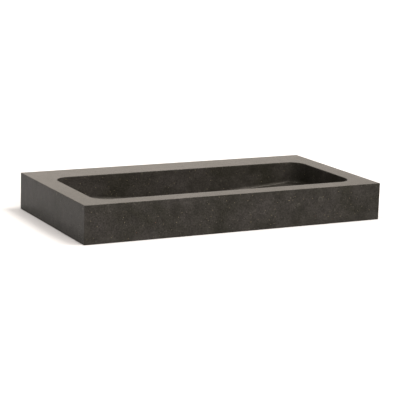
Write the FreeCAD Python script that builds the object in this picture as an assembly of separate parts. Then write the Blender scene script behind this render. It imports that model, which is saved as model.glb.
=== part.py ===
import FreeCAD, Part
import math
import os

# A wash basin carved from one block of dark stone, with an unslotted push-to-close waste.
#
# Frame: millimetres. The origin is on the plane of the underside, straight below the drain.
# +X is to the right of a person at the basin, +Y is towards the wall, +Z is up.
# The plug is modelled open, at the top of its travel.

# Block
WIDTH = 1000.0
DEPTH = 510.0
HEIGHT = 116.0
OUTER_ARRIS = 1.0

# Recess, measured at the rim
SIDE_RIM = 61.5
FRONT_RIM = 58.0
TAP_LEDGE = 111.0
CORNER_RADIUS = 50.0
RIM_ARRIS = 1.6

# Recess floor: two flat planes that fall from the end walls to a valley at the drain
DEPTH_AT_DRAIN = 97.5
FLOOR_FALL = 0.07
COVE_RADIUS = 9.0
VALLEY_RADIUS = 60.0

# Openings in the stone for the waste
DRAIN_HOLE_RADIUS = 23.0
SEAT_RADIUS = 33.5
SEAT_DEPTH = 4.5
POCKET_RADIUS = 40.0
POCKET_DEPTH = 4.0
SEAT_ARRIS = 0.6

# Waste: a 1 1/4 inch pipe thread on the tail
TAIL_RADIUS = 20.955
ENGAGED_RADIUS = 20.21
THROAT_RADIUS = 18.5
TAIL_BOTTOM = -40.0
FLANGE_RADIUS = 32.0
FLANGE_THICKNESS = 2.5
GASKET_THICKNESS = 1.5
PLUG_SEAT_TOP_RADIUS = 24.0
PLUG_SEAT_DROP = 3.5
PLUG_SEAT_BOTTOM_RADIUS = 19.0
SPIDER_BELOW_FLANGE = 37.0
SPIDER_HEIGHT = 10.0
SPIDER_HUB_RADIUS = 7.5
SPIDER_ARM_WIDTH = 3.0
SPIDER_ARMS = 4

# Clamping stack under the stone
POCKET_GASKET_THICKNESS = 3.5
SLIP_WASHER_THICKNESS = 1.5
NUT_THICKNESS = 9.0
NUT_ACROSS_FLATS = 50.0
THREAD_CLEARANCE = 0.05
WASHER_BORE_CLEARANCE = 0.4

# Push-to-close cartridge. Its heights are measured up from the top of the spider it screws into.
PLUG_TRAVEL = 8.0
STUD_RADIUS = 4.0
HOUSING_RADIUS = 7.2
HOUSING_ACROSS_FLATS = 15.0
HOUSING_HEX_HEIGHT = 6.0
HOUSING_HEIGHT = 31.5
CHAMBER_RADIUS = 6.0
CHAMBER_FLOOR_RISE = 4.0
CAP_PLUG_DEPTH = 5.0
SLEEVE_WALL = 0.7
SLEEVE_RISE = 11.0
RIB_REACH = 1.0
RIB_WIDTH = 1.6
RIB_RISE = 17.0
GUIDE_COUNT = 4
RUNNING_CLEARANCE = 0.05
SLIDING_GAP = 0.25

# Plunger, rotor and spring
PLUNGER_RADIUS = 3.0
COLLAR_RADIUS = 4.1
COLLAR_HEIGHT = 2.6
NOSE_RADIUS = 1.9
NOSE_LENGTH = 4.4
ROTOR_RADIUS = 4.0
ROTOR_HEIGHT = 3.2
LUG_WIDTH = 1.4
TOOTH_HEIGHT = 0.7
SPRING_WIRE_RADIUS = 0.4
SPRING_COIL_RADIUS = 3.2
SPRING_TURNS = 6
SPRING_END_GAP = 0.1

# Plug
PLUG_RADIUS = 29.5
PLUG_EDGE_HEIGHT = 2.4
PLUG_CROWN = 1.8
PLUG_CLOSED_GAP = 0.3
SKIRT_RADIUS = 17.4
SKIRT_DEPTH = 4.2
SEAL_SECTION = 1.7
SEAL_CENTRE_RADIUS = 18.0
SEAL_BELOW_PLUG = 2.0
STEM_THREAD_RADIUS = 2.4
STEM_THREAD_LENGTH = 5.0

# Heights that follow from the driving dimensions
FLOOR_HEIGHT = HEIGHT - DEPTH_AT_DRAIN
SEAT_HEIGHT = FLOOR_HEIGHT - SEAT_DEPTH
FLANGE_BOTTOM = SEAT_HEIGHT + GASKET_THICKNESS
FLANGE_TOP = FLANGE_BOTTOM + FLANGE_THICKNESS
GASKET_BOTTOM = POCKET_DEPTH - POCKET_GASKET_THICKNESS
SLIP_WASHER_BOTTOM = GASKET_BOTTOM - SLIP_WASHER_THICKNESS
NUT_BOTTOM = SLIP_WASHER_BOTTOM - NUT_THICKNESS
PLUG_BOTTOM = FLANGE_TOP + PLUG_CLOSED_GAP + PLUG_TRAVEL
SPIDER_TOP = FLANGE_TOP - SPIDER_BELOW_FLANGE
CHAMBER_FLOOR = SPIDER_TOP + CHAMBER_FLOOR_RISE
SLEEVE_BOTTOM = SPIDER_TOP + SLEEVE_RISE
RIB_BOTTOM = SPIDER_TOP + RIB_RISE
HOUSING_TOP = SPIDER_TOP + HOUSING_HEIGHT
CAP_PLUG_BOTTOM = HOUSING_TOP - CAP_PLUG_DEPTH
SLEEVE_BORE = CHAMBER_RADIUS - SLEEVE_WALL
COLLAR_TOP = CAP_PLUG_BOTTOM - SLIDING_GAP
COLLAR_BOTTOM = COLLAR_TOP - COLLAR_HEIGHT
ROTOR_TOP = COLLAR_BOTTOM - TOOTH_HEIGHT - SLIDING_GAP
ROTOR_BOTTOM = ROTOR_TOP - ROTOR_HEIGHT

# Plan of the recess about the drain
RECESS_WIDTH = WIDTH - 2 * SIDE_RIM
RECESS_DEPTH = DEPTH - FRONT_RIM - TAP_LEDGE
FRONT_FACE = -RECESS_DEPTH / 2 - FRONT_RIM

OVERCUT = 5.0


def vec(x, y, z):
    return FreeCAD.Vector(x, y, z)


UP = vec(0, 0, 1)
ORIGIN = vec(0, 0, 0)


def disc(radius, bottom, top):
    return Part.makeCylinder(radius, top - bottom, vec(0, 0, bottom))


def ring(inner, outer, bottom, top):
    return disc(outer, bottom, top).cut(disc(inner, bottom, top))


def turned(profile):
    """Solid of revolution about Z from a closed outline of (radius, height) points."""
    points = [vec(radius, 0, height) for radius, height in profile]
    outline = Part.makePolygon(points + [points[0]])
    return Part.Face(outline).revolve(ORIGIN, UP, 360)


def hexagon(across_flats, bottom, top):
    corner = across_flats / math.sqrt(3)
    points = []
    for side in range(7):
        angle = math.radians(60 * side)
        points.append(vec(corner * math.cos(angle), corner * math.sin(angle), bottom))
    return Part.Face(Part.makePolygon(points)).extrude(vec(0, 0, top - bottom))


def turned_round(shape, step, count):
    """Copies of a shape, equally spaced about Z."""
    copies = []
    for index in range(count):
        copy = shape.copy()
        copy.rotate(ORIGIN, UP, index * step)
        copies.append(copy)
    return copies


def saw_teeth(count, inner, outer, base, height):
    """A ring of teeth that stand on the plane z = base, each with one upright side."""
    pitch = 2 * math.pi * outer / count
    triangle = [vec(0, -pitch / 2, base), vec(0, pitch / 2, base), vec(0, pitch / 2, base + height)]
    wedge = Part.Face(Part.makePolygon(triangle + [triangle[0]])).extrude(vec(outer + 1, 0, 0))
    low, high = min(base, base + height), max(base, base + height)
    teeth = turned_round(wedge, 360 / count, count)
    crown = teeth[0].multiFuse(teeth[1:])
    return crown.common(ring(inner, outer, low - 1, high + 1))


def edges_at_height(shape, height):
    return [edge for edge in shape.Edges if all(abs(v.Z - height) < 0.001 for v in edge.Vertexes)]


def recess_tool():
    """The space inside the basin, which reaches past the rim."""
    half = RECESS_WIDTH / 2
    end_height = FLOOR_HEIGHT + FLOOR_FALL * half
    top = HEIGHT + OVERCUT
    section = [
        vec(-half, -RECESS_DEPTH / 2, top),
        vec(-half, -RECESS_DEPTH / 2, end_height),
        vec(0, -RECESS_DEPTH / 2, FLOOR_HEIGHT),
        vec(half, -RECESS_DEPTH / 2, end_height),
        vec(half, -RECESS_DEPTH / 2, top),
    ]
    space = Part.Face(Part.makePolygon(section + [section[0]])).extrude(vec(0, RECESS_DEPTH, 0))
    corners = [edge for edge in space.Edges if edge.BoundBox.ZLength > 1 and edge.BoundBox.XLength < 0.001]
    space = space.makeFillet(CORNER_RADIUS, corners)
    valley = [
        edge
        for edge in space.Edges
        if edge.BoundBox.YLength > 1 and abs(edge.CenterOfMass.x) < 0.001 and edge.BoundBox.ZMax < HEIGHT
    ]
    space = space.makeFillet(VALLEY_RADIUS, valley)
    floor = [edge for edge in space.Edges if edge.BoundBox.ZMax < end_height + 1 and not crosses(edge)]
    return space.makeFillet(COVE_RADIUS, floor)


def crosses(edge):
    """True for the edges that run straight across the floor, beside the valley."""
    return edge.BoundBox.XLength < 0.001 and edge.BoundBox.ZLength < 0.001 and abs(edge.CenterOfMass.x) < 20


def stone_basin():
    corner = vec(-WIDTH / 2, FRONT_FACE, 0)
    block = Part.makeBox(WIDTH, DEPTH, HEIGHT, corner)
    block = block.makeFillet(OUTER_ARRIS, block.Edges)
    stone = block.cut(recess_tool())
    inside = half_plan_box(RECESS_WIDTH / 2 + 1, RECESS_DEPTH / 2 + 1)
    rim = [edge for edge in edges_at_height(stone, HEIGHT) if inside.isInside(edge.CenterOfMass, 0.1, True)]
    stone = stone.makeFillet(RIM_ARRIS, rim)
    stone = stone.cut(disc(DRAIN_HOLE_RADIUS, -OVERCUT, FLOOR_HEIGHT + OVERCUT))
    stone = stone.cut(disc(SEAT_RADIUS, SEAT_HEIGHT, FLOOR_HEIGHT + OVERCUT))
    stone = stone.cut(disc(POCKET_RADIUS, -OVERCUT, POCKET_DEPTH))
    mouth = [edge for edge in edges_at_height(stone, 0) if abs(edge.Length - 2 * math.pi * POCKET_RADIUS) < 0.01]
    return stone.makeChamfer(SEAT_ARRIS, mouth)


def half_plan_box(half_width, half_depth):
    return Part.makeBox(2 * half_width, 2 * half_depth, HEIGHT + 1, vec(-half_width, -half_depth, 0))


def waste_body():
    """Flange, threaded tail and spider. The plug closes on the cone inside the flange."""
    seat_bottom = FLANGE_TOP - PLUG_SEAT_DROP
    edge_round = 0.8
    shell = turned([
        (THROAT_RADIUS, TAIL_BOTTOM),
        (TAIL_RADIUS - 1, TAIL_BOTTOM),
        (TAIL_RADIUS, TAIL_BOTTOM + 1),
        (TAIL_RADIUS, NUT_BOTTOM),
        (ENGAGED_RADIUS, NUT_BOTTOM),
        (ENGAGED_RADIUS, SLIP_WASHER_BOTTOM),
        (TAIL_RADIUS, SLIP_WASHER_BOTTOM),
        (TAIL_RADIUS, FLANGE_BOTTOM),
        (FLANGE_RADIUS, FLANGE_BOTTOM),
        (FLANGE_RADIUS, FLANGE_TOP - edge_round),
        (FLANGE_RADIUS - edge_round / 3, FLANGE_TOP - edge_round / 3),
        (FLANGE_RADIUS - edge_round, FLANGE_TOP),
        (PLUG_SEAT_TOP_RADIUS, FLANGE_TOP),
        (PLUG_SEAT_BOTTOM_RADIUS, seat_bottom),
        (THROAT_RADIUS, seat_bottom - 0.5),
    ])
    spider_bottom = SPIDER_TOP - SPIDER_HEIGHT
    reach = THROAT_RADIUS + 0.5
    arm = Part.makeBox(reach, SPIDER_ARM_WIDTH, SPIDER_HEIGHT - 2, vec(0, -SPIDER_ARM_WIDTH / 2, spider_bottom + 1))
    arm.rotate(ORIGIN, UP, 45)
    arms = turned_round(arm, 360 / SPIDER_ARMS, SPIDER_ARMS)
    body = shell.multiFuse(arms + [disc(SPIDER_HUB_RADIUS, spider_bottom, SPIDER_TOP)])
    return body.cut(disc(STUD_RADIUS, spider_bottom - 1, SPIDER_TOP + 1)).removeSplitter()


def flange_gasket():
    return ring(TAIL_RADIUS + WASHER_BORE_CLEARANCE, FLANGE_RADIUS - 1, SEAT_HEIGHT, FLANGE_BOTTOM)


def pocket_gasket():
    """Thick rubber washer. Its bore is tapered at the top, where it squeezes against the tail."""
    bore = TAIL_RADIUS + WASHER_BORE_CLEARANCE
    outer = NUT_ACROSS_FLATS / 2 + 5
    return turned([
        (bore, GASKET_BOTTOM),
        (outer - 1, GASKET_BOTTOM),
        (outer, GASKET_BOTTOM + 1),
        (outer, POCKET_DEPTH),
        (bore + 1, POCKET_DEPTH),
        (bore, POCKET_DEPTH - 1),
    ])


def slip_washer():
    outer = NUT_ACROSS_FLATS / 2 + 3
    return ring(TAIL_RADIUS + WASHER_BORE_CLEARANCE, outer, SLIP_WASHER_BOTTOM, GASKET_BOTTOM)


def backnut():
    """Hexagon nut with its corners turned off on both faces and a flat collar against the washer."""
    corner = NUT_ACROSS_FLATS / math.sqrt(3)
    half = NUT_ACROSS_FLATS / 2
    drop = (corner - half) * math.tan(math.radians(30))
    blank = hexagon(NUT_ACROSS_FLATS, NUT_BOTTOM, SLIP_WASHER_BOTTOM)
    envelope = turned([
        (0, NUT_BOTTOM),
        (half, NUT_BOTTOM),
        (corner, NUT_BOTTOM + drop),
        (corner, SLIP_WASHER_BOTTOM - drop),
        (half, SLIP_WASHER_BOTTOM),
        (0, SLIP_WASHER_BOTTOM),
    ])
    return blank.common(envelope).cut(disc(ENGAGED_RADIUS + THREAD_CLEARANCE, NUT_BOTTOM, SLIP_WASHER_BOTTOM))


def click_housing():
    """Cup with a spanner hexagon at its foot and a stud that screws into the spider."""
    stud_bottom = SPIDER_TOP - SPIDER_HEIGHT - 1
    stud = disc(STUD_RADIUS - THREAD_CLEARANCE, stud_bottom, SPIDER_TOP)
    foot = hexagon(HOUSING_ACROSS_FLATS, SPIDER_TOP, SPIDER_TOP + HOUSING_HEX_HEIGHT)
    barrel = disc(HOUSING_RADIUS, SPIDER_TOP + HOUSING_HEX_HEIGHT - 1, HOUSING_TOP - 1.5)
    cup = stud.multiFuse([foot, barrel]).removeSplitter()
    return cup.cut(disc(CHAMBER_RADIUS, CHAMBER_FLOOR, HOUSING_TOP))


def housing_cap():
    """Screw cap: a flat head over the cup's rim, a plug inside it and a bore for the plunger."""
    bore = PLUNGER_RADIUS + RUNNING_CLEARANCE
    plug = CHAMBER_RADIUS - THREAD_CLEARANCE
    head_bottom = HOUSING_TOP - 1.5
    return turned([
        (bore, CAP_PLUG_BOTTOM),
        (plug, CAP_PLUG_BOTTOM),
        (plug, head_bottom),
        (HOUSING_RADIUS, head_bottom),
        (HOUSING_RADIUS, HOUSING_TOP - 0.4),
        (HOUSING_RADIUS - 0.4, HOUSING_TOP),
        (bore, HOUSING_TOP),
    ])


def cam_sleeve():
    """Liner with straight ribs. The lugs of the rotor slide between them and latch under their ends."""
    top = CAP_PLUG_BOTTOM
    liner = ring(SLEEVE_BORE, CHAMBER_RADIUS - THREAD_CLEARANCE, SLEEVE_BOTTOM, top)
    rib_inner = SLEEVE_BORE - RIB_REACH
    rib_points = [
        vec(rib_inner, -RIB_WIDTH / 2, RIB_BOTTOM),
        vec(rib_inner, RIB_WIDTH / 2, RIB_BOTTOM + TOOTH_HEIGHT),
        vec(rib_inner, RIB_WIDTH / 2, top),
        vec(rib_inner, -RIB_WIDTH / 2, top),
    ]
    rib = Part.Face(Part.makePolygon(rib_points + [rib_points[0]])).extrude(vec(RIB_REACH + SLEEVE_WALL / 2, 0, 0))
    rib.rotate(ORIGIN, UP, 180 / GUIDE_COUNT)
    return liner.multiFuse(turned_round(rib, 360 / GUIDE_COUNT, GUIDE_COUNT)).removeSplitter()


def cam_rotor():
    """Ring with a lug for each groove of the sleeve and slanting teeth that face the plunger."""
    bore = NOSE_RADIUS + RUNNING_CLEARANCE
    core = ring(bore, ROTOR_RADIUS, ROTOR_BOTTOM, ROTOR_TOP)
    reach = SLEEVE_BORE - SLIDING_GAP
    lug = Part.makeBox(reach, LUG_WIDTH, ROTOR_HEIGHT, vec(0, -LUG_WIDTH / 2, ROTOR_BOTTOM))
    lug = lug.common(ring(ROTOR_RADIUS - 0.5, reach, ROTOR_BOTTOM, ROTOR_TOP))
    lugs = turned_round(lug, 360 / GUIDE_COUNT, GUIDE_COUNT)
    teeth = saw_teeth(2 * GUIDE_COUNT, bore, ROTOR_RADIUS, ROTOR_TOP, TOOTH_HEIGHT)
    return core.multiFuse(lugs + [teeth]).removeSplitter()


def plunger():
    """Stem with a collar that stops it under the cap, a nose for the rotor and a thread for the plug."""
    skirt_bottom = PLUG_BOTTOM - SKIRT_DEPTH
    thread_top = skirt_bottom + STEM_THREAD_LENGTH
    nose_bottom = COLLAR_BOTTOM - NOSE_LENGTH
    stem = turned([
        (0, nose_bottom),
        (NOSE_RADIUS - 0.4, nose_bottom),
        (NOSE_RADIUS, nose_bottom + 0.4),
        (NOSE_RADIUS, COLLAR_BOTTOM),
        (COLLAR_RADIUS, COLLAR_BOTTOM),
        (COLLAR_RADIUS, COLLAR_TOP),
        (PLUNGER_RADIUS, COLLAR_TOP),
        (PLUNGER_RADIUS, skirt_bottom),
        (STEM_THREAD_RADIUS, skirt_bottom),
        (STEM_THREAD_RADIUS, thread_top - 0.4),
        (STEM_THREAD_RADIUS - 0.4, thread_top),
        (0, thread_top),
    ])
    return stem


def return_spring():
    """Compression spring between the cup's floor and the rotor, with an extra closed turn at each end.

    Each half turn is a tilted half torus. It starts and ends level, so the halves meet smoothly.
    """
    closed_rise = SPRING_WIRE_RADIUS * 1.05
    start = CHAMBER_FLOOR + SPRING_WIRE_RADIUS + SPRING_END_GAP
    end = ROTOR_BOTTOM - SPRING_WIRE_RADIUS - SPRING_END_GAP
    open_rise = (end - start - 4 * closed_rise) / (2 * SPRING_TURNS)
    rises = [closed_rise] * 2 + [open_rise] * 2 * SPRING_TURNS + [closed_rise] * 2
    halves = []
    height = start
    side = 1
    for rise in rises:
        wire = Part.Wire(Part.makeCircle(SPRING_WIRE_RADIUS, vec(side * SPRING_COIL_RADIUS, 0, height), vec(0, 1, 0)))
        centre = vec(0, 0, height + rise / 2)
        axis = vec(side * rise / 2, 0, SPRING_COIL_RADIUS)
        halves.append(Part.Face(wire).revolve(centre, axis, 180))
        height += rise
        side = -side
    return halves[0].multiFuse(halves[1:])


def plug_cap():
    """Low crowned disc with a skirt below, which is grooved for the seal and drilled for the plunger."""
    skirt_bottom = PLUG_BOTTOM - SKIRT_DEPTH
    edge_top = PLUG_BOTTOM + PLUG_EDGE_HEIGHT
    crown_top = edge_top + PLUG_CROWN
    crown_start = vec(PLUG_RADIUS - 0.7, 0, edge_top)
    crown_end = vec(0, 0, crown_top)
    crown_radius = ((PLUG_RADIUS - 0.7) ** 2 + PLUG_CROWN ** 2) / (2 * PLUG_CROWN)
    half_angle = math.asin((PLUG_RADIUS - 0.7) / crown_radius) / 2
    crown_mid = vec(
        crown_radius * math.sin(half_angle), 0, crown_top - crown_radius * (1 - math.cos(half_angle))
    )
    sides = [
        vec(0, 0, crown_top),
        vec(0, 0, skirt_bottom),
        vec(SKIRT_RADIUS - 0.4, 0, skirt_bottom),
        vec(SKIRT_RADIUS, 0, skirt_bottom + 0.4),
        vec(SKIRT_RADIUS, 0, PLUG_BOTTOM),
        vec(PLUG_RADIUS - 0.5, 0, PLUG_BOTTOM),
        vec(PLUG_RADIUS, 0, PLUG_BOTTOM + 0.5),
        vec(PLUG_RADIUS, 0, edge_top - 0.4),
        crown_start,
    ]
    edges = [Part.LineSegment(a, b).toShape() for a, b in zip(sides, sides[1:])]
    edges.append(Part.Arc(crown_start, crown_mid, crown_end).toShape())
    body = Part.Face(Part.Wire(edges)).revolve(ORIGIN, UP, 360)
    groove = Part.makeTorus(SEAL_CENTRE_RADIUS, SEAL_SECTION, vec(0, 0, PLUG_BOTTOM - SEAL_BELOW_PLUG))
    thread = disc(STEM_THREAD_RADIUS + THREAD_CLEARANCE, skirt_bottom - 1, skirt_bottom + STEM_THREAD_LENGTH + 0.5)
    return body.cut(groove).cut(thread)


def plug_seal():
    section = SEAL_SECTION - THREAD_CLEARANCE
    return Part.makeTorus(SEAL_CENTRE_RADIUS, section, vec(0, 0, PLUG_BOTTOM - SEAL_BELOW_PLUG))


PIECES = [
    stone_basin,
    waste_body,
    flange_gasket,
    pocket_gasket,
    slip_washer,
    backnut,
    click_housing,
    housing_cap,
    cam_sleeve,
    cam_rotor,
    plunger,
    return_spring,
    plug_cap,
    plug_seal,
]

os.makedirs("parts", exist_ok=True)
for make_piece in PIECES:
    piece = make_piece()
    if not piece.isValid() or len(piece.Solids) != 1:
        raise ValueError(make_piece.__name__ + " is not one valid solid")
    piece.Solids[0].exportStep("parts/" + make_piece.__name__ + ".step")
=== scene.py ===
import math

import bmesh
import bpy
from mathutils import Matrix, Vector, noise


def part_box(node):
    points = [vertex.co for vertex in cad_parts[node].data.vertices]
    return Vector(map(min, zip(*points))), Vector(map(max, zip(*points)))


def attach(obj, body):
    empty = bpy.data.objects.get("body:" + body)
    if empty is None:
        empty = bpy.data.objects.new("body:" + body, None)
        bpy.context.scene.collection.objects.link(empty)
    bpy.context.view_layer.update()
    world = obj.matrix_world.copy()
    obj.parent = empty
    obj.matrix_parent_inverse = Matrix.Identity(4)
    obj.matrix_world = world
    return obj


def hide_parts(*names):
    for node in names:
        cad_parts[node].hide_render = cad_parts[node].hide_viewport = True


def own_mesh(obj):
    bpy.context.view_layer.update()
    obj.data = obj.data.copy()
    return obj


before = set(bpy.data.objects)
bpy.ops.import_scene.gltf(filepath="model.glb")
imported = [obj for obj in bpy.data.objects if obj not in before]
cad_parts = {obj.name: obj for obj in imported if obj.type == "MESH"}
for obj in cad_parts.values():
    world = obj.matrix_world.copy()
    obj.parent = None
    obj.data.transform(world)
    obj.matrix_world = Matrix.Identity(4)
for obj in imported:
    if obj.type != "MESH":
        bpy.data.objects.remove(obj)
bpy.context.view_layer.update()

# A wash basin cut from one block of dark honed basalt, with a push-to-close waste. Metres.
# Sizes are taken from the CAD nodes' boxes where those give them; the rest repeat the design's own.

MM = 0.001
BLOCK_LOW, BLOCK_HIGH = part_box("stone_basin")
WASTE_LOW, WASTE_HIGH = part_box("waste_body")
NUT_LOW, NUT_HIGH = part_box("backnut")

# Recess
SIDE_RIM = 61.5 * MM
FRONT_RIM = 58 * MM
TAP_LEDGE = 111 * MM
CORNER_RADIUS = 50 * MM
FLOOR_HEIGHT = 18.5 * MM
FLOOR_FALL = 0.07
COVE_RADIUS = 9 * MM
VALLEY_HALF_WIDTH = 5 * MM
OUTER_ARRIS = 1.0 * MM
RIM_ARRIS = 1.6 * MM
FINE_WEAR_LENGTH = 5 * MM
BROAD_WEAR_LENGTH = 38 * MM

# Openings for the waste
DRAIN_HOLE_RADIUS = 23 * MM
SEAT_RADIUS = 33.5 * MM
SEAT_HEIGHT = 14 * MM
POCKET_RADIUS = 40 * MM
POCKET_DEPTH = 4 * MM
SEAT_ARRIS = 0.6 * MM


# ---------------------------------------------------------------- node helpers

class Nodes:
    """A new material's node tree, with short calls to add and join nodes."""

    def __init__(self, name):
        self.material = bpy.data.materials.new(name)
        self.material.use_nodes = True
        self.tree = self.material.node_tree
        self.shader = self.tree.nodes["Principled BSDF"]
        self.place = self.add("ShaderNodeTexCoord").outputs["Object"]

    def add(self, kind, **settings):
        node = self.tree.nodes.new(kind)
        for name, value in settings.items():
            setattr(node, name, value)
        return node

    def join(self, source, target):
        self.tree.links.new(source, target)

    def noise(self, scale, detail=4.0, roughness=0.55, distortion=0.0, place=None):
        node = self.add("ShaderNodeTexNoise")
        node.inputs["Scale"].default_value = scale
        node.inputs["Detail"].default_value = detail
        node.inputs["Roughness"].default_value = roughness
        node.inputs["Distortion"].default_value = distortion
        self.join(place or self.place, node.inputs["Vector"])
        return node.outputs["Fac"]

    def cells(self, scale, output="Distance"):
        node = self.add("ShaderNodeTexVoronoi", feature="F1")
        node.inputs["Scale"].default_value = scale
        node.inputs["Randomness"].default_value = 1.0
        self.join(self.place, node.inputs["Vector"])
        return node.outputs[output]

    def ramp(self, source, stops):
        """Colour or grey steps: stops are (position, grey or colour)."""
        node = self.add("ShaderNodeValToRGB")
        band = node.color_ramp
        while len(band.elements) < len(stops):
            band.elements.new(0.5)
        for element, (position, tone) in zip(band.elements, stops):
            element.position = position
            grey = not isinstance(tone, tuple)
            element.color = (tone, tone, tone, 1) if grey else (*tone, 1)
        self.join(source, node.inputs["Fac"])
        return node.outputs["Color"]

    def span(self, source, low, high, from_low=0.0, from_high=1.0):
        node = self.add("ShaderNodeMapRange")
        node.inputs["From Min"].default_value = from_low
        node.inputs["From Max"].default_value = from_high
        node.inputs["To Min"].default_value = low
        node.inputs["To Max"].default_value = high
        self.join(source, node.inputs["Value"])
        return node.outputs["Result"]

    def math(self, operation, first, second):
        node = self.add("ShaderNodeMath", operation=operation)
        for value, socket in ((first, node.inputs[0]), (second, node.inputs[1])):
            if isinstance(value, (int, float)):
                socket.default_value = value
            else:
                self.join(value, socket)
        return node.outputs["Value"]

    def mix(self, kind, share, first, second):
        node = self.add("ShaderNodeMix", data_type="RGBA", blend_type=kind)
        for value, socket in ((share, node.inputs[0]), (first, node.inputs[6]), (second, node.inputs[7])):
            if isinstance(value, (int, float)):
                socket.default_value = value
            elif isinstance(value, tuple):
                socket.default_value = (*value, 1)
            else:
                self.join(value, socket)
        return node.outputs[2]

    def stretch(self, scale):
        node = self.add("ShaderNodeMapping")
        node.inputs["Scale"].default_value = scale
        self.join(self.place, node.inputs["Vector"])
        return node.outputs["Vector"]

    def bump(self, height, distance, strength):
        node = self.add("ShaderNodeBump")
        node.inputs["Strength"].default_value = strength
        node.inputs["Distance"].default_value = distance
        self.join(height, node.inputs["Height"])
        return node.outputs["Normal"]

    def set(self, **values):
        """Sets or joins the shader's sockets, with _ for a space in a socket's name."""
        for name, value in values.items():
            socket = self.shader.inputs[name.replace("_", " ")]
            if isinstance(value, bpy.types.NodeSocket):
                self.join(value, socket)
            else:
                socket.default_value = value
        return self.material


# ---------------------------------------------------------------- mesh helpers

def put_in_scene(name, mesh, body, material):
    piece = bpy.data.objects.new(name, mesh)
    bpy.context.scene.collection.objects.link(piece)
    piece.data.materials.clear()
    piece.data.materials.append(material)
    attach(piece, body)
    return piece


def mesh_from(build, name):
    mesh = bpy.data.meshes.new(name)
    build.to_mesh(mesh)
    build.free()
    return mesh


def lofted(loops, smooth_band, closed_tube=False):
    """Quads between closed loops with equal counts. smooth_band says which faces are shaded as round."""
    build = bmesh.new()
    rings = [[build.verts.new(point) for point in loop] for loop in loops]
    count = len(rings[0])
    pairs = list(zip(rings, rings[1:]))
    if closed_tube:
        pairs.append((rings[-1], rings[0]))
    for band, (near, far) in enumerate(pairs):
        for column in range(count):
            after = (column + 1) % count
            face = build.faces.new((near[column], near[after], far[after], far[column]))
            face.smooth = smooth_band(band, column)
    return build


def arc_steps(count, sweep=math.pi / 2):
    return [sweep * step / count for step in range(count + 1)]


# ---------------------------------------------------------------- stone

SIDE_POINTS_X = 220
SIDE_POINTS_Y = 110
CORNER_POINTS = 16


def rounded_rectangle(low, high, radius):
    """Points round a rectangle with round corners, anticlockwise from the front left.

    All such loops have the same number of points, so any two can be joined.
    """
    left, front = low.x + radius, low.y + radius
    right, back = high.x - radius, high.y - radius
    sides = [
        ((left, low.y), (right, low.y), SIDE_POINTS_X, (right, front), -90),
        ((high.x, front), (high.x, back), SIDE_POINTS_Y, (right, back), 0),
        ((right, high.y), (left, high.y), SIDE_POINTS_X, (left, back), 90),
        ((low.x, back), (low.x, front), SIDE_POINTS_Y, (left, front), 180),
    ]
    points = []
    for start, end, count, centre, first_angle in sides:
        for step in range(count):
            share = step / count
            x = start[0] + (end[0] - start[0]) * share
            y = start[1] + (end[1] - start[1]) * share
            points.append(Vector((x, y)))
        for step in range(CORNER_POINTS):
            angle = math.radians(first_angle + 90 * step / CORNER_POINTS)
            x = centre[0] + radius * math.cos(angle)
            y = centre[1] + radius * math.sin(angle)
            points.append(Vector((x, y)))
    return points


def is_corner(column):
    """True for the columns of faces that go round a corner of the plan."""
    side = SIDE_POINTS_X + CORNER_POINTS
    end = SIDE_POINTS_Y + CORNER_POINTS
    place = column % (side + end)
    return SIDE_POINTS_X <= place < side or place >= side + SIDE_POINTS_Y


def grown(low, high, amount):
    reach = Vector((amount, amount))
    return low - reach, high + reach


def floor_height(x):
    """The recess's floor: two planes that fall to a valley at the drain, blended across the valley."""
    reach = abs(x)
    if reach < VALLEY_HALF_WIDTH:
        return FLOOR_HEIGHT + FLOOR_FALL * (x * x / VALLEY_HALF_WIDTH + VALLEY_HALF_WIDTH) / 2
    return FLOOR_HEIGHT + FLOOR_FALL * reach


def raised(points, height):
    return [Vector((p.x, p.y, height)) for p in points]


def between(first, second, shares):
    return [[a.lerp(b, share) for a, b in zip(first, second)] for share in shares]


def even_shares(count):
    """Shares strictly between 0 and 1."""
    return [step / count for step in range(1, count)]


class StoneLoops:
    """The loops of the stone's surface in order, and which bands between them are flat or round."""

    def __init__(self):
        self.loops = []
        self.kinds = []

    def add(self, loop, kind):
        """kind describes the band between this loop and the next one: flat, wall or round."""
        self.loops.append(loop)
        self.kinds.append(kind)

    def is_smooth(self, band, column):
        kind = self.kinds[band]
        return kind == "round" or (kind == "wall" and is_corner(column))


def worn(point, outward, most):
    """Moves a point of an arris into the stone by an uneven amount, as hand-eased edges are."""
    fine = noise.noise(point / FINE_WEAR_LENGTH) * 0.5 + 0.5
    broad = noise.noise(point / BROAD_WEAR_LENGTH) * 0.5 + 0.5
    return point - outward * most * (0.35 * fine + 0.65 * broad)


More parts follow.
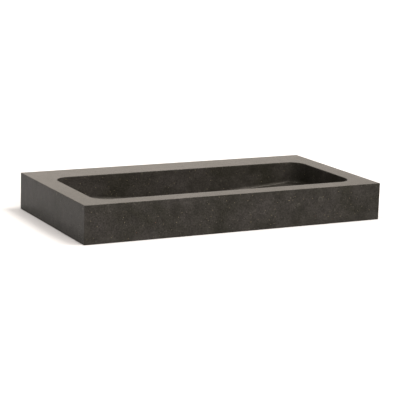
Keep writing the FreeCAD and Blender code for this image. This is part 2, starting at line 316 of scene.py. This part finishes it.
def outer_loops(stone):
    """Underside's outer edge, outer faces and the top's outer edge."""
    low, high = BLOCK_LOW.xy, BLOCK_HIGH.xy
    arris = OUTER_ARRIS
    wear = 0.35 * MM
    inner_low, inner_high = grown(low, high, -arris)
    nearly_sharp = 0.02 * MM
    core = rounded_rectangle(inner_low, inner_high, nearly_sharp)
    full = rounded_rectangle(low, high, arris)
    outward = [(f - c).normalized() for f, c in zip(full, core)]
    for angle in arc_steps(4):
        loop = []
        for c, n in zip(core, outward):
            direction = Vector((n.x * math.sin(angle), n.y * math.sin(angle), -math.cos(angle)))
            centre = Vector((c.x, c.y, BLOCK_LOW.z + arris))
            loop.append(worn(centre + direction * arris, direction, wear * math.sin(2 * angle)))
        stone.add(loop, "wall" if angle > math.pi / 2 - 0.01 else "round")
    walls = 12
    wall_low, wall_high = BLOCK_LOW.z + arris, BLOCK_HIGH.z - arris
    for share in even_shares(walls):
        stone.add(raised(full, wall_low + (wall_high - wall_low) * share), "wall")
    for angle in arc_steps(4):
        loop = []
        for c, n in zip(core, outward):
            direction = Vector((n.x * math.cos(angle), n.y * math.cos(angle), math.sin(angle)))
            centre = Vector((c.x, c.y, wall_high))
            loop.append(worn(centre + direction * arris, direction, wear * math.sin(2 * angle)))
        stone.add(loop, "flat" if angle > math.pi / 2 - 0.01 else "round")


def recess_outline():
    low = Vector((BLOCK_LOW.x + SIDE_RIM, BLOCK_LOW.y + FRONT_RIM))
    high = Vector((BLOCK_HIGH.x - SIDE_RIM, BLOCK_HIGH.y - TAP_LEDGE))
    outline = rounded_rectangle(low, high, CORNER_RADIUS)
    wider = rounded_rectangle(*grown(low, high, MM), CORNER_RADIUS + MM)
    inward = [(a - b).normalized() for a, b in zip(outline, wider)]
    return outline, inward


def recess_loops(stone):
    """Top face, rim, walls, cove and floor of the recess, down to the seat of the waste."""
    outline, inward = recess_outline()
    wear = 0.3 * MM
    rim = []
    for angle in arc_steps(5):
        loop = []
        for p, n in zip(outline, inward):
            side = 1 - math.sin(angle)
            direction = Vector((n.x * math.sin(angle), n.y * math.sin(angle), math.cos(angle)))
            height = BLOCK_HIGH.z - RIM_ARRIS * (1 - math.cos(angle))
            point = Vector((p.x - n.x * RIM_ARRIS * side, p.y - n.y * RIM_ARRIS * side, height))
            loop.append(worn(point, direction, wear * math.sin(2 * angle)))
        rim.append(loop)
    for loop in between(stone.loops[-1], rim[0], even_shares(7)):
        stone.add(loop, "flat")
    for loop in rim[:-1]:
        stone.add(loop, "round")
    stone.add(rim[-1], "wall")

    slopes = [FLOOR_FALL * abs(n.x) for n in inward]
    floor_at_wall = [floor_height(p.x) for p in outline]
    centres = [
        floor - slope * COVE_RADIUS + COVE_RADIUS * math.sqrt(1 + slope * slope)
        for floor, slope in zip(floor_at_wall, slopes)
    ]
    cove_top = [Vector((p.x, p.y, height)) for p, height in zip(outline, centres)]
    for loop in between(rim[-1], cove_top, even_shares(8)):
        stone.add(loop, "wall")
    cove_steps = 9
    for step in range(cove_steps + 1):
        loop = []
        for p, n, centre, slope in zip(outline, inward, centres, slopes):
            angle = (math.pi / 2 - math.atan(slope)) * step / cove_steps
            out = COVE_RADIUS * (1 - math.cos(angle))
            loop.append(Vector((p.x + n.x * out, p.y + n.y * out, centre - COVE_RADIUS * math.sin(angle))))
        stone.add(loop, "round")

    cove_end = stone.loops[-1]
    mouth = circle_like(cove_end, SEAT_RADIUS + SEAT_ARRIS)
    for share in even_shares(26):
        loop = []
        for a, b in zip(cove_end, mouth):
            x, y = a.x + (b.x - a.x) * share, a.y + (b.y - a.y) * share
            loop.append(Vector((x, y, floor_height(x))))
        stone.add(loop, "round")
    stone.add([Vector((p.x, p.y, floor_height(p.x))) for p in mouth], "round")


def circle_like(loop, radius):
    """A circle about the drain whose points lie in the same directions as those of a loop."""
    return [Vector((p.x, p.y)).normalized() * radius for p in loop]


def drain_loops(stone):
    """Seat of the waste, the hole through the stone, the pocket below it and the underside."""
    around = stone.loops[-1]
    seat = circle_like(around, SEAT_RADIUS)
    hole = circle_like(around, DRAIN_HOLE_RADIUS)
    pocket = circle_like(around, POCKET_RADIUS)
    mouth = circle_like(around, POCKET_RADIUS + SEAT_ARRIS)
    small = 0.4 * MM
    stone.add([Vector((p.x, p.y, floor_height(p.x) - SEAT_ARRIS)) for p in seat], "round")
    stone.add(raised(seat, SEAT_HEIGHT), "flat")
    stone.add(raised(circle_like(around, DRAIN_HOLE_RADIUS + small), SEAT_HEIGHT), "round")
    stone.add(raised(hole, SEAT_HEIGHT - small), "round")
    stone.add(raised(hole, POCKET_DEPTH + small), "round")
    stone.add(raised(circle_like(around, DRAIN_HOLE_RADIUS + small), POCKET_DEPTH), "flat")
    stone.add(raised(pocket, POCKET_DEPTH), "round")
    stone.add(raised(pocket, SEAT_ARRIS), "round")
    stone.add(raised(mouth, 0), "flat")
    for loop in between(raised(mouth, 0), stone.loops[0], even_shares(12)):
        stone.add(loop, "flat")


def stone_mesh():
    stone = StoneLoops()
    outer_loops(stone)
    recess_loops(stone)
    drain_loops(stone)
    build = lofted(stone.loops, stone.is_smooth, closed_tube=True)
    bmesh.ops.recalc_face_normals(build, faces=build.faces)
    return mesh_from(build, "stone")


# ---------------------------------------------------------------- waste

PIPE_PITCH = 2.309 * MM
THREAD_DEPTH = 0.75 * MM
TAIL_RADIUS = 20.955 * MM
ENGAGED_RADIUS = 20.21 * MM
THROAT_RADIUS = 18.5 * MM
FLANGE_BOTTOM = 15.5 * MM
SPIDER_TOP = -19 * MM
SPIDER_HEIGHT = 10 * MM
SPIDER_HUB_RADIUS = 7.5 * MM
SPIDER_ARM_WIDTH = 3 * MM
SPIDER_ARMS = 4
STUD_RADIUS = 4 * MM
PLUG_SEAT_TOP_RADIUS = 24 * MM
PLUG_SEAT_BOTTOM_RADIUS = 19 * MM
PLUG_SEAT_DROP = 3.5 * MM


def lathe(profile, segments, radius_at=None):
    """Turns a closed outline of (radius, height) points about Z. radius_at may cut a thread in it."""
    loops = []
    for radius, height in profile:
        loop = []
        for step in range(segments):
            turn = step / segments
            reach = radius_at(radius, height, turn) if radius_at else radius
            angle = 2 * math.pi * turn
            loop.append(Vector((reach * math.cos(angle), reach * math.sin(angle), height)))
        loops.append(loop)
    build = lofted(loops, lambda band, column: True, closed_tube=True)
    bmesh.ops.recalc_face_normals(build, faces=build.faces)
    return build


def softened(profile, radius):
    """Rounds every corner of a closed outline with a short arc."""
    out = []
    for index, here in enumerate(profile):
        before, after = Vector(profile[index - 1]), Vector(profile[(index + 1) % len(profile)])
        corner = Vector(here)
        back, ahead = before - corner, after - corner
        cut = min(radius, back.length * 0.45, ahead.length * 0.45)
        start = corner + back.normalized() * cut
        end = corner + ahead.normalized() * cut
        for share in (0, 0.25, 0.5, 0.75, 1):
            point = start.lerp(corner, share).lerp(corner.lerp(end, share), share)
            out.append((point.x, point.y))
    return out


def threaded(radius, height, turn):
    """Radius of the tail's outside, with a pipe thread below the backnut.

    The groove has a flat root and a flat crest, and fades out over one pitch at each end.
    """
    top = NUT_LOW.z
    low = WASTE_LOW.z + MM
    if radius < TAIL_RADIUS - 0.01 * MM or height > top - 0.2 * MM or height < low:
        return radius
    fade = min(1, (height - low) / PIPE_PITCH, (top - height) / PIPE_PITCH)
    phase = (height / PIPE_PITCH - turn) % 1
    groove = min(1, max(0, abs(phase - 0.5) * 2 * 1.25 - 0.12))
    return radius - THREAD_DEPTH * groove * fade


def waste_body_mesh():
    flange_radius, top = WASTE_HIGH.x, WASTE_HIGH.z
    upper = softened([
        (TAIL_RADIUS, NUT_HIGH.z + 0.1 * MM),
        (TAIL_RADIUS, FLANGE_BOTTOM),
        (flange_radius, FLANGE_BOTTOM),
        (flange_radius, top),
        (PLUG_SEAT_TOP_RADIUS, top),
        (PLUG_SEAT_BOTTOM_RADIUS, top - PLUG_SEAT_DROP),
        (THROAT_RADIUS, top - PLUG_SEAT_DROP - 0.5 * MM),
        (THROAT_RADIUS, WASTE_LOW.z),
        (TAIL_RADIUS - MM, WASTE_LOW.z),
    ], 0.5 * MM)
    rows = 110
    low = WASTE_LOW.z + MM
    run = [(TAIL_RADIUS, low + (NUT_LOW.z - low) * row / rows) for row in range(rows + 1)]
    engaged = [(ENGAGED_RADIUS, NUT_LOW.z + 0.02 * MM), (ENGAGED_RADIUS, NUT_HIGH.z)]
    shell = mesh_from(lathe(upper + run + engaged, 96, threaded), "shell")
    hub = mesh_from(spider_hub(), "hub")
    return union(shell, [hub] + [mesh_from(spider_arm(arm), "arm") for arm in range(SPIDER_ARMS)])


def spider_hub():
    low = SPIDER_TOP - SPIDER_HEIGHT
    return lathe(softened([
        (STUD_RADIUS, low),
        (SPIDER_HUB_RADIUS, low),
        (SPIDER_HUB_RADIUS, SPIDER_TOP),
        (STUD_RADIUS, SPIDER_TOP),
    ], 0.5 * MM), 48)


def spider_arm(number):
    """Arm with rounded edges, from inside the hub's wall to inside the tail's wall."""
    half, rise = SPIDER_ARM_WIDTH / 2, 1 * MM
    low, high = SPIDER_TOP - SPIDER_HEIGHT + rise, SPIDER_TOP - rise
    turn = math.radians(45 + 360 / SPIDER_ARMS * number)
    section = softened([(-half, low), (half, low), (half, high), (-half, high)], 1.0 * MM)
    ends = []
    for reach in (5.5 * MM, THROAT_RADIUS + 0.5 * MM):
        ends.append([Vector((reach, across, height)) for across, height in section])
    build = lofted(ends, lambda band, column: False)
    for ring in (build.verts[:len(section)], build.verts[len(section):]):
        build.faces.new(ring)
    bmesh.ops.rotate(build, verts=build.verts, matrix=Matrix.Rotation(turn, 3, "Z"))
    bmesh.ops.recalc_face_normals(build, faces=build.faces)
    return build


def union(mesh, others):
    """Joins closed meshes into one."""
    base = bpy.data.objects.new("base", mesh)
    bpy.context.scene.collection.objects.link(base)
    cutters = []
    for other in others:
        cutter = bpy.data.objects.new("other", other)
        bpy.context.scene.collection.objects.link(cutter)
        cutters.append(cutter)
        modifier = base.modifiers.new("union", "BOOLEAN")
        modifier.operation = "UNION"
        modifier.solver = "EXACT"
        modifier.object = cutter
    depsgraph = bpy.context.evaluated_depsgraph_get()
    joined = bpy.data.meshes.new_from_object(base.evaluated_get(depsgraph))
    for leftover in [base] + cutters:
        bpy.data.objects.remove(leftover)
    return joined


# ---------------------------------------------------------------- spring

SPRING_COIL_RADIUS = 3.2 * MM
SPRING_WIRE_RADIUS = 0.4 * MM
SPRING_TURNS = 6


def spring_mesh():
    """Round wire wound with a closed turn at each end."""
    low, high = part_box("return_spring")
    bottom, top = low.z + SPRING_WIRE_RADIUS, high.z - SPRING_WIRE_RADIUS
    turns = SPRING_TURNS + 2
    steps_per_turn, around = 28, 12
    steps = turns * steps_per_turn
    closed_rise = 2.1 * SPRING_WIRE_RADIUS
    open_rise = (top - bottom - 2 * closed_rise) / SPRING_TURNS
    centres = []
    for step in range(steps + 1):
        turn = step / steps_per_turn
        opened = min(max(turn - 1, 0), SPRING_TURNS)
        height = bottom + opened * open_rise + (turn - opened) * closed_rise
        angle = 2 * math.pi * turn
        centres.append((angle, height))
    loops = []
    for angle, height in centres:
        out = Vector((math.cos(angle), math.sin(angle), 0))
        loop = []
        for side in range(around):
            bend = 2 * math.pi * side / around
            reach = SPRING_COIL_RADIUS + SPRING_WIRE_RADIUS * math.cos(bend)
            point = out * reach
            point.z = height + SPRING_WIRE_RADIUS * math.sin(bend)
            loop.append(point)
        loops.append(loop)
    build = lofted(loops, lambda band, column: True)
    build.verts.ensure_lookup_table()
    build.faces.new(build.verts[:around])
    build.faces.new(build.verts[-around:])
    bmesh.ops.recalc_face_normals(build, faces=build.faces)
    return mesh_from(build, "spring")


# ---------------------------------------------------------------- materials

def stone_material():
    n = Nodes("honed_basalt")
    grain = n.noise(900, detail=3, roughness=0.7)
    fine = n.noise(260, detail=5, roughness=0.6)
    cloud = n.noise(9, detail=5, roughness=0.6, distortion=0.4)
    patch = n.noise(34, detail=4, roughness=0.55)
    base = n.ramp(cloud, [(0.32, (0.0128, 0.0126, 0.0103)), (0.68, (0.0230, 0.0217, 0.0210))])
    base = n.mix("MULTIPLY", 1.0, base, n.ramp(patch, [(0.3, 0.83), (0.7, 1.18)]))
    base = n.mix("MULTIPLY", 1.0, base, n.ramp(fine, [(0.3, 0.60), (0.7, 1.45)]))
    base = n.mix("MULTIPLY", 1.0, base, n.ramp(grain, [(0.25, 0.70), (0.75, 1.32)]))

    # Faint broken rings and crescents
    ring = n.ramp(n.cells(24), [(0.29, 0.0), (0.325, 1.0), (0.36, 0.0)])
    chosen = n.ramp(n.cells(24, output="Color"), [(0.74, 0.0), (0.78, 1.0)])
    broken = n.ramp(n.noise(58, detail=2), [(0.48, 0.0), (0.57, 1.0)])
    amount = n.math("MULTIPLY", n.math("MULTIPLY", ring, chosen), broken)
    base = n.mix("MIX", n.math("MULTIPLY", amount, 0.45), base, (0.060, 0.058, 0.052))

    # Pale, yellowish and rusty mineral flecks: cells per metre, size in a cell, share of cells, colour
    for scale, reach, share, tone in (
        (160, 0.17, 0.45, (0.100, 0.096, 0.084)),
        (105, 0.12, 0.22, (0.170, 0.150, 0.095)),
        (60, 0.075, 0.28, (0.220, 0.205, 0.165)),
        (48, 0.070, 0.10, (0.130, 0.060, 0.040)),
    ):
        spot = n.ramp(n.cells(scale), [(reach * 0.55, 1.0), (reach, 0.0)])
        chosen = n.ramp(n.cells(scale, output="Color"), [(1 - share - 0.05, 0.0), (1 - share, 1.0)])
        amount = n.math("MULTIPLY", n.math("MULTIPLY", spot, chosen), 0.8)
        base = n.mix("MIX", amount, base, tone)

    roughness = n.span(n.noise(55, detail=4), 0.20, 0.29)
    height = n.math("ADD", n.math("MULTIPLY", grain, 0.5), n.math("MULTIPLY", fine, 0.5))
    normal = n.bump(height, 0.05 * MM, 0.5)
    return n.set(Base_Color=base, Roughness=roughness, IOR=1.13, Normal=normal)


def chrome_material():
    n = Nodes("chrome_plate")
    haze = n.noise(420, detail=5, roughness=0.65)
    roughness = n.span(haze, 0.05, 0.14, 0.3, 0.7)
    tone = n.ramp(n.noise(60, detail=3), [(0.3, (0.60, 0.605, 0.62)), (0.7, (0.66, 0.665, 0.675))])
    normal = n.bump(haze, 0.004 * MM, 0.4)
    return n.set(Base_Color=tone, Metallic=1.0, Roughness=roughness, Normal=normal)


def turned_rings(n, scale):
    """Fine rings about the waste's axis, as a lathe tool leaves them."""
    split = n.add("ShaderNodeSeparateXYZ")
    n.join(n.place, split.inputs["Vector"])
    across = n.math("POWER", split.outputs["X"], 2.0)
    along = n.math("POWER", split.outputs["Y"], 2.0)
    radius = n.math("SQRT", n.math("ADD", across, along), 0)
    joined = n.math("ADD", radius, split.outputs["Z"])
    return n.math("SINE", n.math("MULTIPLY", joined, scale), 0)


def brass_material():
    n = Nodes("turned_brass")
    rings = turned_rings(n, 14000.0)
    stain = n.noise(180, detail=5, roughness=0.6)
    tone = n.ramp(stain, [(0.3, (0.47, 0.31, 0.12)), (0.7, (0.66, 0.47, 0.20))])
    roughness = n.span(stain, 0.24, 0.42, 0.3, 0.7)
    normal = n.bump(rings, 0.006 * MM, 0.5)
    return n.set(Base_Color=tone, Metallic=1.0, Roughness=roughness, Normal=normal)


def rubber_material():
    n = Nodes("moulded_rubber")
    grain = n.noise(1400, detail=4, roughness=0.6)
    tone = n.ramp(n.noise(120, detail=4), [(0.3, (0.012, 0.012, 0.013)), (0.7, (0.026, 0.026, 0.027))])
    roughness = n.span(grain, 0.55, 0.75, 0.3, 0.7)
    normal = n.bump(grain, 0.02 * MM, 0.6)
    return n.set(Base_Color=tone, Roughness=roughness, Normal=normal)


def plastic_material(name, low, high):
    n = Nodes(name)
    grain = n.noise(700, detail=4, roughness=0.6)
    tone = n.ramp(n.noise(90, detail=3), [(0.3, low), (0.7, high)])
    roughness = n.span(grain, 0.34, 0.5, 0.3, 0.7)
    normal = n.bump(grain, 0.01 * MM, 0.4)
    return n.set(Base_Color=tone, Roughness=roughness, Normal=normal)


def steel_material():
    n = Nodes("drawn_wire")
    streak = n.noise(900, detail=4, place=n.stretch((1, 1, 5)))
    tone = n.ramp(streak, [(0.3, (0.42, 0.42, 0.43)), (0.7, (0.58, 0.58, 0.59))])
    roughness = n.span(streak, 0.2, 0.36, 0.3, 0.7)
    return n.set(Base_Color=tone, Metallic=1.0, Roughness=roughness)


def stage_material():
    n = Nodes("studio_floor")
    tone = n.ramp(n.noise(2.0, detail=2), [(0.3, (0.485, 0.508, 0.545)), (0.7, (0.500, 0.524, 0.562))])
    return n.set(Base_Color=tone, Roughness=0.8)


# ---------------------------------------------------------------- build

def dress(node, material):
    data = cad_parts[node].data
    data.materials.clear()
    data.materials.append(material)


def build_object():
    stone = put_in_scene("stone_block", stone_mesh(), "basin", stone_material())
    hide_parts("stone_basin")

    chrome = chrome_material()
    body = put_in_scene("waste_shell", waste_body_mesh(), "basin", chrome)
    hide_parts("waste_body")
    dress("plug_cap", chrome)

    brass = brass_material()
    for node in ("backnut", "click_housing", "housing_cap", "plunger"):
        dress(node, brass)

    rubber = rubber_material()
    for node in ("flange_gasket", "pocket_gasket", "plug_seal"):
        dress(node, rubber)

    dress("slip_washer", plastic_material("washer_plastic", (0.66, 0.65, 0.60), (0.74, 0.73, 0.68)))
    acetal = plastic_material("acetal", (0.62, 0.62, 0.60), (0.70, 0.70, 0.68))
    for node in ("cam_sleeve", "cam_rotor"):
        dress(node, acetal)

    spring = put_in_scene("wound_spring", spring_mesh(), "basin", steel_material())
    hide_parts("return_spring")
    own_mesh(spring)


# ---------------------------------------------------------------- studio

FLOOR_REACH = 60.0
FLOOR_RING = 0.3
CUT_OUT_RADIUS = 46 * MM
CUT_OUT_DEPTH = 30 * MM

# Where the camera stands from the block's front left bottom corner, and how it is turned
CAMERA_OFFSET = Vector((-1.6288, -3.8223, 1.0287))
CAMERA_TURN = 27.57
CAMERA_DIP = 12.07
CAMERA_ROLL = 1.80
CAMERA_LENS = 135.2

# The surroundings: a bright backdrop, a dimmer room, and where the one fades into the other.
# The fade is set by the cosine of the angle from the backdrop's direction.
WARM_WHITE = (1.0, 0.905, 0.81)
BACKDROP_DIRECTION = (-0.20, 0.97, 0.1)
BACKDROP_LIGHT = 1.88
BACKDROP_INNER = 0.97
BACKDROP_OUTER = 0.25
ROOM_LIGHT = 0.40

# Soft boxes: name, bearing and elevation in degrees, power, and how wide each one looks in degrees.
# A bearing is turned from straight in front of the basin towards its right.
SOFT_BOXES = [
    ("front_box", 10, 27, 4.45, 40),
    ("top_box", 66, 61, 3.7, 27),
    ("left_box", -90, 25, 0.6, 50),
    ("ceiling_box", -100, 68, 1.3, 26),
]


def build_stage():
    """A pale top with a round cut-out for the waste."""
    segments = 64
    loops = []
    for radius, height in (
        (FLOOR_REACH, 0),
        (FLOOR_RING, 0),
        (CUT_OUT_RADIUS, 0),
        (CUT_OUT_RADIUS, -CUT_OUT_DEPTH),
        (FLOOR_RING, -CUT_OUT_DEPTH),
    ):
        loop = []
        for step in range(segments):
            angle = 2 * math.pi * step / segments
            loop.append(Vector((radius * math.cos(angle), radius * math.sin(angle), height)))
        loops.append(loop)
    build = lofted(loops, lambda band, column: False)
    bmesh.ops.recalc_face_normals(build, faces=build.faces)
    floor = bpy.data.objects.new("studio_floor", mesh_from(build, "studio_floor"))
    bpy.context.scene.collection.objects.link(floor)
    floor.data.materials.append(stage_material())


def build_world():
    """Soft surroundings: a pale backdrop behind the block and a dimmer room in front of it."""
    world = bpy.data.worlds.new("studio")
    world.use_nodes = True
    tree = world.node_tree
    place = tree.nodes.new("ShaderNodeTexCoord")
    behind = tree.nodes.new("ShaderNodeVectorMath")
    behind.operation = "DOT_PRODUCT"
    behind.inputs[1].default_value = BACKDROP_DIRECTION
    share = tree.nodes.new("ShaderNodeMapRange")
    share.interpolation_type = "SMOOTHSTEP"
    share.inputs["From Min"].default_value = BACKDROP_OUTER
    share.inputs["From Max"].default_value = BACKDROP_INNER
    share.inputs["To Min"].default_value = ROOM_LIGHT
    share.inputs["To Max"].default_value = BACKDROP_LIGHT
    background = tree.nodes["Background"]
    background.inputs["Color"].default_value = (*WARM_WHITE, 1)
    tree.links.new(place.outputs["Generated"], behind.inputs[0])
    tree.links.new(behind.outputs["Value"], share.inputs["Value"])
    tree.links.new(share.outputs["Result"], background.inputs["Strength"])
    bpy.context.scene.world = world


def soft_sun(name, bearing, elevation, power, spread):
    """A distant soft light."""
    data = bpy.data.lights.new(name, "SUN")
    data.energy = power
    data.angle = math.radians(spread)
    data.color = WARM_WHITE
    light = bpy.data.objects.new(name, data)
    light.rotation_euler = (math.radians(90 - elevation), 0, math.radians(bearing))
    bpy.context.scene.collection.objects.link(light)


def build_lights():
    build_world()
    for box in SOFT_BOXES:
        soft_sun(*box)


def build_camera():
    data = bpy.data.cameras.new("camera")
    data.lens = CAMERA_LENS
    data.sensor_width = 36
    data.clip_end = 200
    camera = bpy.data.objects.new("camera", data)
    camera.location = BLOCK_LOW + CAMERA_OFFSET
    turn = Matrix.Rotation(math.radians(-CAMERA_TURN), 4, "Z")
    tip = Matrix.Rotation(math.radians(90 - CAMERA_DIP), 4, "X")
    roll = Matrix.Rotation(math.radians(CAMERA_ROLL), 4, "Z")
    camera.rotation_euler = (turn @ tip @ roll).to_euler()
    bpy.context.scene.collection.objects.link(camera)
    bpy.context.scene.camera = camera


build_camera()
build_object()
build_stage()
build_lights()
bpy.context.scene.view_settings.view_transform = "Standard"
